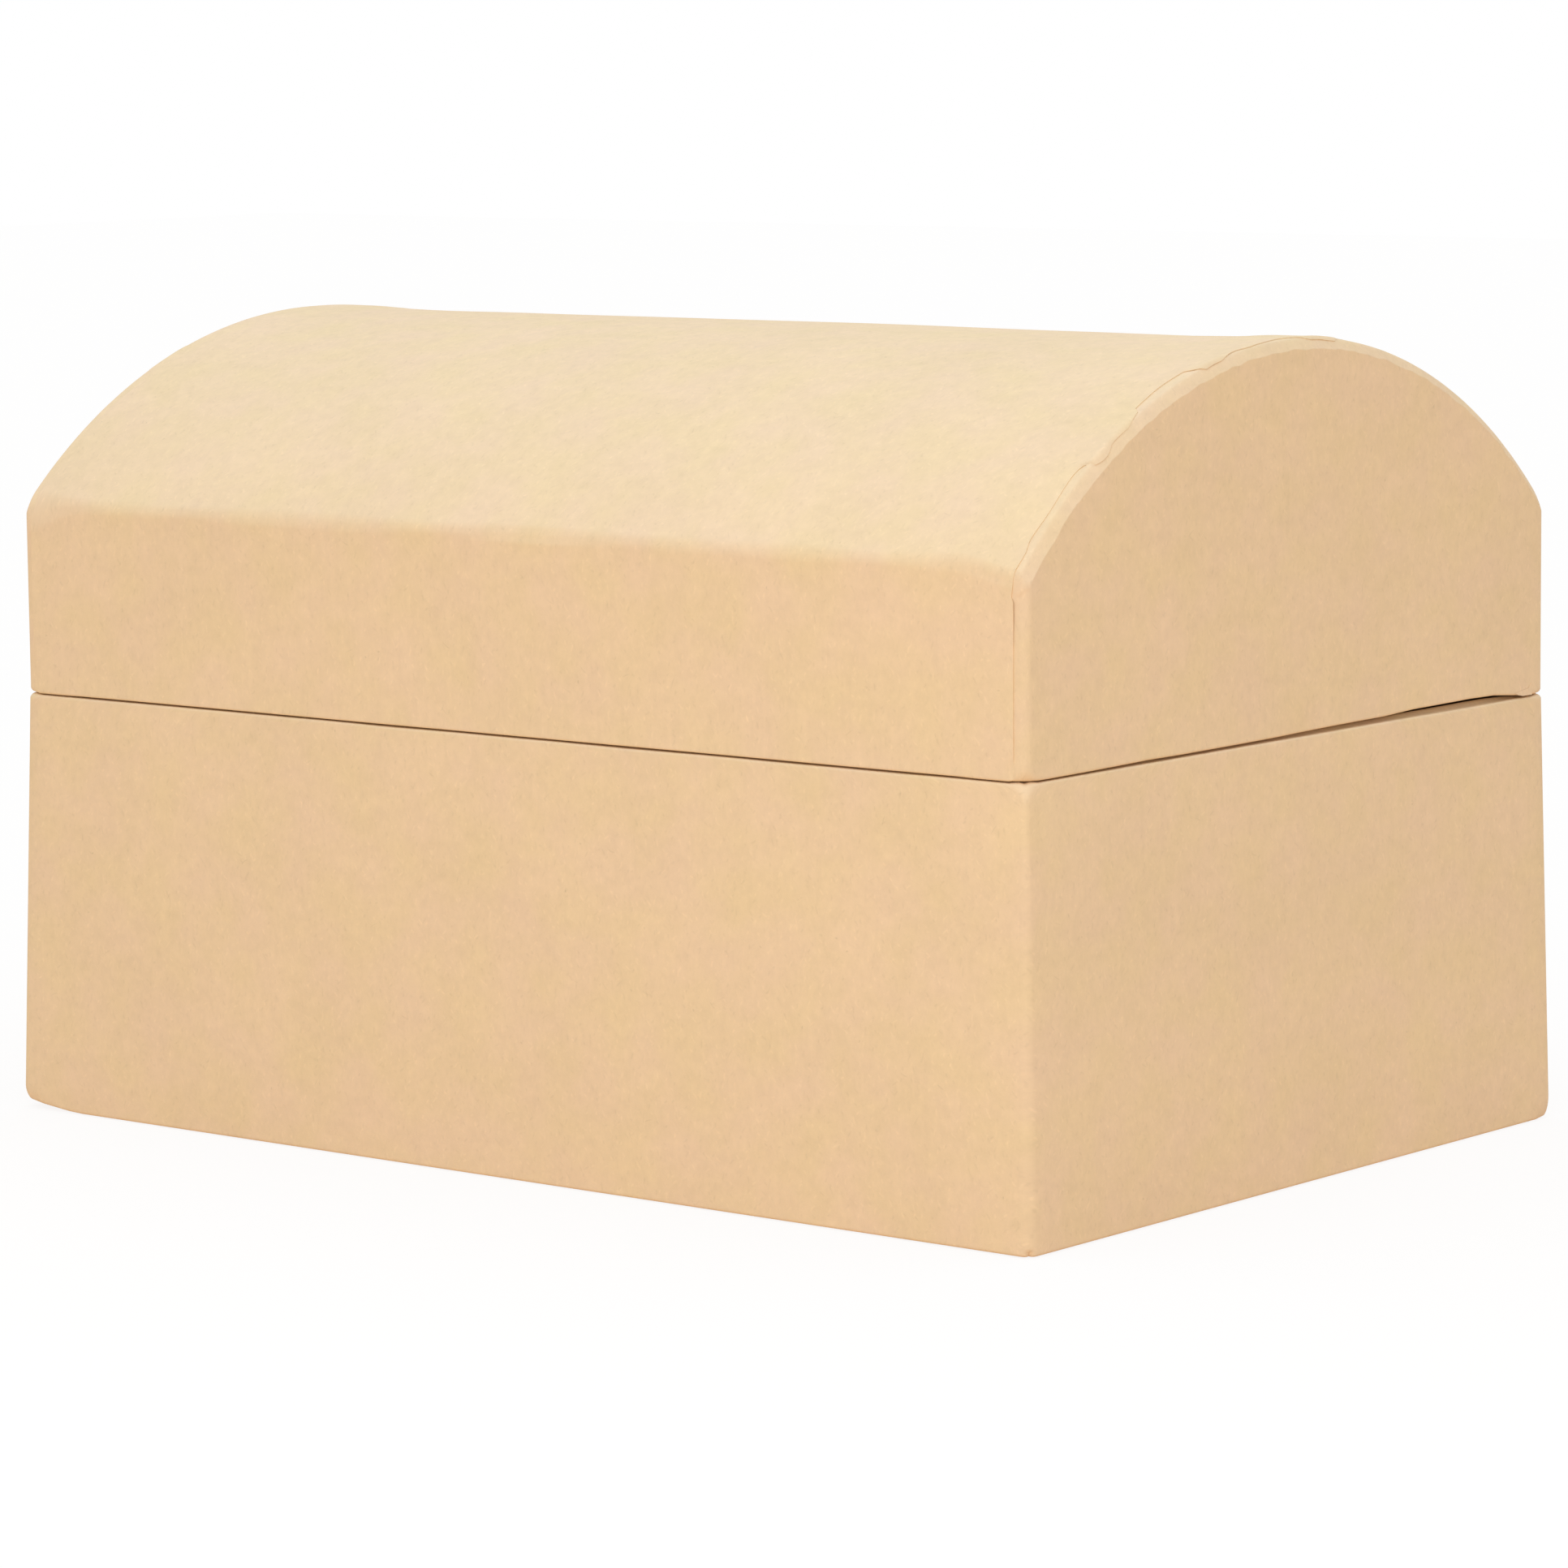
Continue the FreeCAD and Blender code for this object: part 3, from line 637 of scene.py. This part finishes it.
def makeTopCover():
    rim, footRound = chest["lidRim"], topSheet["footRound"]
    inner, rail = topSheet["innerRound"], topSheet["rail"]
    deep, paperEnd = chest["halfDepth"], chest["halfLength"]
    front = [(-deep + rail, rim + high, 0.0, 0.0) for high in topSheet["turnIn"]]
    for t in quarter(4):
        front.append((-deep + rail - inner * (1 - math.cos(t)), rim + inner * (1 - math.sin(t)), 0.0, 0.0))
    for t in quarter(6)[:-1]:
        ny, nz = -math.sin(t), -math.cos(t)
        front.append((-deep + footRound * (1 + ny), rim + footRound * (1 + nz), ny, nz))
    back = [(-y, z, -ny, nz) for y, z, ny, nz in reversed(front)]
    ends = [front + endArch(rim + footRound, side) + back for side in (-1, 1)]
    middle = front + archPath(rim + footRound, chest["midCrease"], chest["midCrease"]) + back
    run = lengths([point[:2] for point in ends[1]])
    zero = run[len(front)] - footRound                  # where the front wall would meet the rim
    span = run[-len(front) - 1] + footRound - zero
    near = (0.0, 0.12, 0.3, 0.6, 1.0, 1.6, 2.4, 3.4, 5.0, 7.5, 10.5, 14.0, 18.0, 23.0)
    count = topSheet["middleColumns"]
    rows, marks = [], []
    for atLeft, atRight, atMiddle, length in zip(*ends, middle, run):
        place, nz = length - zero, atRight[3]
        left = -paperEnd + between(topSheet["leftCut"], place)
        right = paperEnd - between(topSheet["rightCut"], place)
        lift = between(topSheet["lift"], place)
        press = between(topSheet["press"], min(place, span - place))
        crease = topSheet["creaseWave"] * smooth(0.0, 0.3, nz) * smooth(0.72, 0.45, nz)
        waviness = topSheet["wave"] * mixed(0.35, 1.0, smooth(0.0, 0.5, nz))
        columns = [left + step for step in near]
        columns += [mixed(left + near[-1], right - near[-1], k / count) for k in range(1, count)]
        columns += [right - step for step in reversed(near)]
        row = []
        for x in columns:
            inside = paperEnd - abs(x)
            share = smooth(*topSheet["shoulderRun"], inside)
            y, z, ny, nz = (mixed(*pair, share) for pair in zip(atRight if x > 0 else atLeft, atMiddle))
            push = waviness * ripple(x, place, topSheet["waveSize"], 5.3) + crease * ripple(x, y, 18.0, 7.9)
            push += endRise(inside, nz) - edgeFall(inside, y, z, math.copysign(1, x)) * onDome(nz)
            push -= topSheet["flapStep"] * smooth(*topSheet["flapEdge"], inside)
            push -= press * smooth(0.9, 0.1, min(x - left, right - x))
            push += lift * smooth(topSheet["liftRun"], 0.0, right - x)
            spotX, spotY = drawnIn(x, y, z, deep - abs(y) if nz <= 0 else 0.0, deep)
            row.append((spotX, spotY + ny * push, z + nz * push))
        rows.append(row)
        marks.append([(x, place) for x in columns])
    mesh = makeSheet("lid_top_cover", rows, marks)
    return settle("lid_top_cover", [mesh], kraftCover, chest["paper"])


topCover = makeTopCover()
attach(topCover, "lid")
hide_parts("lid_top_wrap")

# Arched sheet on each end: its edge goes over the end of the dome as a flap under the top sheet,
# and its foot is turned in under the end panel
endSheet = {
    "flap": (10.0, 7.0, 5.0, 4.0, 3.3),      # level part under the top sheet, by distance inside the end
    "flapFoot": 3.0,         # flap starts this far above the rim under the top sheet
    "bare": (2.75, 2.2),     # level part beside the top sheet
    "slope": (1.7, 1.45, 1.25, 1.1, 0.95, 0.75, 0.5, 0.25, 0.06, 0.0),
    "face": (0.975, 0.94, 0.88, 0.8, 0.7, 0.58, 0.46, 0.34, 0.22, 0.11, 0.0),
    "footRound": 0.35,
    "sole": (0.7, 1.1, 1.5, 1.8),            # level under the foot
    "wall": 2.6,
    "innerRound": 0.5,
    "turnIn": (3.0, 7.0, 12.0),
    "wave": 0.10,
    "waveSize": 30.0,
    "snip": (95.8, 93.7),    # height of the flap's end at the edge and beside the top sheet
    "snipSoft": 0.15,
    "snipStep": 0.14,
    "snipFade": (7.0, 1.0),  # distance below the snip over which the step grows
}


def makeEndCover(name, side):
    rim, edge, layer = chest["lidRim"], chest["edgeRound"], chest["layer"]
    outX, sideY = chest["halfLength"], chest["halfDepth"] - layer
    footLine = rim + endSheet["footRound"]
    bareFrom = endSheet["bare"][0]
    soft, (fadeFrom, fadeTo) = endSheet["snipSoft"], endSheet["snipFade"]
    # each station: distance inside the end and drop on the walls, then distance inside the end on the dome
    stations = [(inside, 0.0, inside) for inside in endSheet["flap"] + endSheet["bare"]]
    for t, inside in zip(quarter(9), endSheet["slope"]):
        stations.append((edge * (1 - math.sin(t)), edge * (1 - math.cos(t)), inside))
    stations.append((0.0, edge + 0.07, 0.0))
    reach = lengths([(-inside, drop) for inside, drop, _ in stations])
    rows, marks = [], []
    for (wallInside, wallDrop, domeInside), done in zip(stations, reach):
        foot = footLine if wallInside <= bareFrom else rim + endSheet["flapFoot"]
        unrolled = reach[-1] - done
        row, mark = [], []
        for y, z, ny, nz in endArch(foot, side):
            share = onDome(nz)
            inside = mixed(wallInside, domeInside, share)
            domeDrop = edgeFall(domeInside, y, z, side) + max(0.0, wallDrop - edge)
            sink = layer + mixed(wallDrop, domeDrop, share) - endRise(inside, nz)
            snip = mixed(*endSheet["snip"], inside / bareFrom)
            grown = smooth(snip - fadeFrom, snip - fadeTo, z)
            sink += endSheet["snipStep"] * smooth(snip + soft, snip - soft, z) * grown
            spotX, spotY = drawnIn(side * (outX - inside), y - ny * sink, z, 0.0, sideY)
            row.append((abs(spotX), spotY, z - nz * sink))
            mark.append((y + ny * (unrolled - sink), z + nz * (unrolled - sink)))
        rows.append(row)
        marks.append(mark)
    outline = rows[-1]
    for share in endSheet["face"]:
        rows.append([(outX, y * share, mixed(footLine, z, share)) for _, y, z in outline])
        marks.append([(y, z) for _, y, z in rows[-1]])

    # plan line along the foot, from the bare corner at the front round to the one at the back
    first = len(endSheet["flap"])
    planLine = []
    for inside, drop, _ in stations[first:]:
        planLine.append((outX - inside, -sideY + drop))
    planLine += [row[0][:2] for row in rows[len(stations):]]
    planMarks = [marks[k][0][0] for k in range(first, len(rows))]
    planLine += [(x, -y) for x, y in reversed(planLine[:-1])]
    planMarks += [-u for u in reversed(planMarks[:-1])]
    footRound, inner, wall = endSheet["footRound"], endSheet["innerRound"], endSheet["wall"]
    profile = [(footRound * (1 - math.cos(t)), footRound * (1 - math.sin(t))) for t in quarter(5)]
    profile += [(inset, 0.0) for inset in endSheet["sole"]]
    profile += [(wall - inner + inner * math.sin(t), inner * (1 - math.cos(t))) for t in quarter(4)]
    profile += [(wall, high) for high in endSheet["turnIn"]]
    flatX, flatY, bareX = outX - edge, sideY - edge, outX - bareFrom
    soleRows, soleMarks = [], []
    for (inset, rise), done in zip(profile, lengths(profile)):
        radius = max(edge - inset, 0.05)
        cornerX, cornerY = outX - inset - radius, sideY - inset - radius
        row = []
        for x, y in planLine:
            if x <= flatX + 0.001:
                spot = mixed(bareX, cornerX, (x - bareX) / (flatX - bareX)), math.copysign(sideY - inset, y)
            elif abs(y) > flatY + 0.001:
                spotY = cornerY + (abs(y) - flatY) * radius / edge
                spot = cornerX + (x - flatX) * radius / edge, math.copysign(spotY, y)
            else:
                spot = outX - inset, y * cornerY / flatY
            spotX, spotY = drawnIn(side * spot[0], spot[1], rim + rise, inset, sideY)
            row.append((abs(spotX), spotY, rim + rise))
        soleRows.append(row)
        soleMarks.append([(u, footLine - done) for u in planMarks])

    def worked(x, y, z, face):
        # the lifted foot, and soft waves on the flat face
        z += between(endLift, y) * smooth(footLine + liftReach, footLine, z)
        wave = endSheet["wave"] * ripple(y, z, endSheet["waveSize"], 3.1 + side)
        return side * (x + wave * smooth(0.0, 9.0, face)), y, z

    arch = [[worked(*point, 0.0) for point in row] for row in rows[:len(stations)]]
    for row, share in zip(rows[len(stations):], endSheet["face"]):
        clear = [(1 - share) * 60.0 * smooth(footLine, footLine + 8.0, z) for _, _, z in row]
        arch.append([worked(*point, face) for point, face in zip(row, clear)])
    sole = [[worked(*point, 0.0) for point in row] for row in soleRows]
    meshes = [makeSheet(name, arch, marks, flip=side > 0), makeSheet(name, sole, soleMarks, flip=side > 0)]
    return settle(name, meshes, kraftCover, chest["paper"])


def makeEndPanel(word, side):
    # the board inside an end, its foot lifted like the sheet's
    low, high = (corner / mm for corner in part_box(f"lid_{word}_end_board"))
    outX = max(abs(low.x), abs(high.x))
    wallSink, domeSink = chest["halfDepth"] - high.y, topHigh.z - high.z
    outline = []
    for y, z, ny, nz in archPath(low.z, chest["crispCrease"], chest["crispCrease"], 6, 20):
        sink = mixed(wallSink, domeSink, onDome(nz))
        outline.append((y - ny * sink, z - nz * sink))
    rows = []
    for share in (1.0, 0.8, 0.6, 0.4, 0.2, 0.0):
        row = [(y * share, mixed(low.z, z, share)) for y, z in outline]
        rows.append([(side * outX, y, z + between(endLift, y) * smooth(low.z + liftReach, low.z, z))
                     for y, z in row])
    marks = [[(y, z) for _, y, z in row] for row in rows]
    name = f"lid_{word}_end_panel"
    return settle(name, [makeSheet(name, rows, marks, flip=side > 0)], chipboard, high.x - low.x)


for word, side in (("left", -1), ("right", 1)):
    endPanel = makeEndPanel(word, side)
    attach(endPanel, "lid")
    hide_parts(f"lid_{word}_end_board")
    endCover = makeEndCover(f"lid_{word}_end_cover", side)
    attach(endCover, "lid")
    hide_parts(f"lid_{word}_end_wrap")

# Corner tuck: end of the back fold showing on the end sheet just above the rim
cornerTuck = {
    "proud": 0.15,
    "low": [(59.4, 0.62), (60.4, 0.3), (61.6, 0.12), (64.1, 0.1)],      # y, height above the rim
    "top": [(59.4, 0.7), (63.0, 1.15), (64.1, 1.95)],
    "rows": (0.0, 0.12, 0.3, 0.5, 0.75, 1.0),
    "columns": 16,
}


def makeCornerTuck(name, side):
    rim, sideY, outX = chest["lidRim"], chest["halfDepth"] - chest["layer"], chest["halfLength"]
    low, tops = cornerTuck["low"], cornerTuck["top"]
    rows, marks = [], []
    count = cornerTuck["columns"]
    for share in cornerTuck["rows"]:
        row = []
        for k in range(count + 1):
            y = mixed(tops[0][0], tops[-1][0], k / count)
            z = rim + mixed(between(low, y), between(tops, y), share)
            x, spotY = drawnIn(side * outX, y, z, 0.0, sideY)
            row.append((x + side * cornerTuck["proud"], spotY, z))
        rows.append(row)
        marks.append([(y, z) for _, y, z in row])
    return settle(name, [makeSheet(name, rows, marks, flip=side < 0)], kraftCover, chest["paper"])


for word, side in (("left", -1), ("right", 1)):
    tuck = makeCornerTuck(f"lid_{word}_corner_tuck", side)
    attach(tuck, "lid")

# Paper hinge down both backs, pressed in a little between the rims
hingeLow, hingeHigh = (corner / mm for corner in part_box("hinge_strip"))
hingeTape = {
    "dip": 0.4,
    "dipWide": 1.3,
    "cut": 0.25,             # unevenness of the cut edges
    "cutSize": 40.0,
    "wave": 0.04,
    "waveSize": 26.0,
    "flat": (2.0, 6.0),      # waves begin this far from the fold
    "columns": 50,
}
foldZ = (chest["baseRim"] + chest["lidRim"]) / 2


def makeHingeTape():
    steps = [0.0, 0.25, 0.5, 0.8, 1.1, 1.4, 1.8, 2.4, 3.4, 5.0, 7.5, 10.5, 13.5, 16.0]
    heights = [foldZ - step for step in reversed(steps)] + [foldZ + step for step in steps[1:]]
    heights = [hingeLow.z] + heights + [hingeHigh.z]
    inward = [1] + [0] * (len(heights) - 2) + [-1]        # the two cut edges run a little unevenly
    count = hingeTape["columns"]
    rows, marks = [], []
    for z, turned in zip(heights, inward):
        off = abs(z - foldZ)
        row = []
        for j in range(count + 1):
            x = mixed(hingeHigh.x, hingeLow.x, j / count)
            y = hingeHigh.y - hingeTape["dip"] * smooth(hingeTape["dipWide"], 0.0, off)
            wave = hingeTape["wave"] * ripple(x, z, hingeTape["waveSize"], 6.2)
            y += wave * smooth(*hingeTape["flat"], off)
            row.append((x, y, z + turned * hingeTape["cut"] * abs(ripple(x, z, hingeTape["cutSize"], 1.9))))
        rows.append(row)
        marks.append([(x, z) for x, _, _ in row])
    return settle("hinge_tape", [makeSheet("hinge_tape", rows, marks)], kraftTape, chest["paper"])


tape = makeHingeTape()
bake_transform(tape)
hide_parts("hinge_strip")
print("pieces made")

# Floor and light: even pale surroundings, cooler from above, and a soft lamp low at the front right
studio = {
    "floor": 6.0,            # metres
    "horizon": (0.50, 0.50, 0.51),
    "zenith": (1.34, 1.53, 1.79),
    "bounce": (0.52, 0.39, 0.28),
    "glow": (0.325, 0.245, 0.185),    # lights the foot, which shades the floor beside it
    "seen": (0.90, 0.79, 0.68),
    "whiteShare": 0.88,
    "lampPlace": (0.30, -0.50, 0.26),
    "lampAim": (0, 0, 0.06),
    "lampSize": 0.35,
    "lampPower": 0.70,
}


def showsWhite(start):
    # rays from the camera, and those mirrored or bent on the way, see plain white
    rays = start.make("ShaderNodeLightPath")
    seen = rays.calc("MAXIMUM", rays, rays.also("Is Glossy Ray"))
    return rays.calc("MAXIMUM", seen, rays.also("Is Transmission Ray"))


def makeFloor():
    material, start = newMaterial("studioFloor")
    bounce = start.make("ShaderNodeBsdfDiffuse", None, {"Color": (*studio["bounce"], 1)})
    glow = start.make("ShaderNodeEmission", None, {"Color": (*studio["glow"], 1), "Strength": 1.0})
    below = start.make("ShaderNodeAddShader", None, {0: bounce, 1: glow})
    seen = start.make("ShaderNodeBsdfDiffuse", None, {"Color": (*studio["seen"], 1)})
    white = start.make("ShaderNodeEmission", None, {"Color": (1, 1, 1, 1), "Strength": 1.0})
    pale = start.make("ShaderNodeMixShader", None, {0: studio["whiteShare"], 1: seen, 2: white})
    both = start.make("ShaderNodeMixShader", None, {0: showsWhite(start), 1: below, 2: pale})
    start.make("ShaderNodeOutputMaterial", None, {"Surface": both})
    half = studio["floor"] / 2
    mesh = bpy.data.meshes.new("floor")
    corners = [(-half, -half, 0), (half, -half, 0), (half, half, 0), (-half, half, 0)]
    mesh.from_pydata(corners, [], [(0, 1, 2, 3)])
    mesh.materials.append(material)
    floor = bpy.data.objects.new("floor", mesh)
    scene.collection.objects.link(floor)


def makeWorld():
    world = bpy.data.worlds.new("studio")
    scene.world = world
    world.use_nodes = True
    world.node_tree.nodes.clear()
    start = Wire(world.node_tree)
    way = start.make("ShaderNodeTexCoord")
    height = start.make("ShaderNodeSeparateXYZ", None, {0: way}, out=2)
    sky = start.make("ShaderNodeMix", {"data_type": "RGBA"},
                     {0: height, 6: (*studio["horizon"], 1), 7: (*studio["zenith"], 1)}, out=2)
    light = start.make("ShaderNodeBackground", None, {"Color": sky, "Strength": 1.0})
    white = start.make("ShaderNodeBackground", None, {"Color": (1, 1, 1, 1), "Strength": 1.0})
    both = start.make("ShaderNodeMixShader", None, {0: showsWhite(start), 1: light, 2: white})
    start.make("ShaderNodeOutputWorld", None, {"Surface": both})


def makeLamp():
    lamp = bpy.data.lights.new("softLamp", "AREA")
    lamp.shape = "DISK"
    lamp.size = studio["lampSize"]
    lamp.energy = studio["lampPower"]
    holder = bpy.data.objects.new("softLamp", lamp)
    holder.location = studio["lampPlace"]
    aim = Vector(studio["lampAim"]) - Vector(studio["lampPlace"])
    holder.rotation_euler = aim.to_track_quat("-Z", "Y").to_euler()
    scene.collection.objects.link(holder)


makeFloor()
makeWorld()
makeLamp()
print("studio made")

# Camera at the photograph's place
shot = {
    "azimuth": 39.27,
    "elevation": 7.36,
    "roll": -0.58,
    "distance": 0.982,
    "focal": 7533 / 1932,    # of the picture's width
    "aside": 0.001,
    "height": 0.0534,
}


def makeCamera():
    turn, tilt, roll = (math.radians(shot[key]) for key in ("azimuth", "elevation", "roll"))
    back = Vector((math.sin(turn) * math.cos(tilt), -math.cos(turn) * math.cos(tilt), math.sin(tilt)))
    level = Vector((math.cos(turn), math.sin(turn), 0))
    upright = back.cross(level)
    right = level * math.cos(roll) + upright * math.sin(roll)
    up = upright * math.cos(roll) - level * math.sin(roll)
    lens = bpy.data.cameras.new("camera")
    lens.sensor_width = 36.0
    lens.lens = shot["focal"] * lens.sensor_width
    camera = bpy.data.objects.new("camera", lens)
    scene.collection.objects.link(camera)
    place = level * shot["aside"] + Vector((0, 0, shot["height"])) + back * shot["distance"]
    camera.matrix_world = Matrix.Translation(place) @ Matrix((right, up, back)).transposed().to_4x4()
    scene.camera = camera


makeCamera()
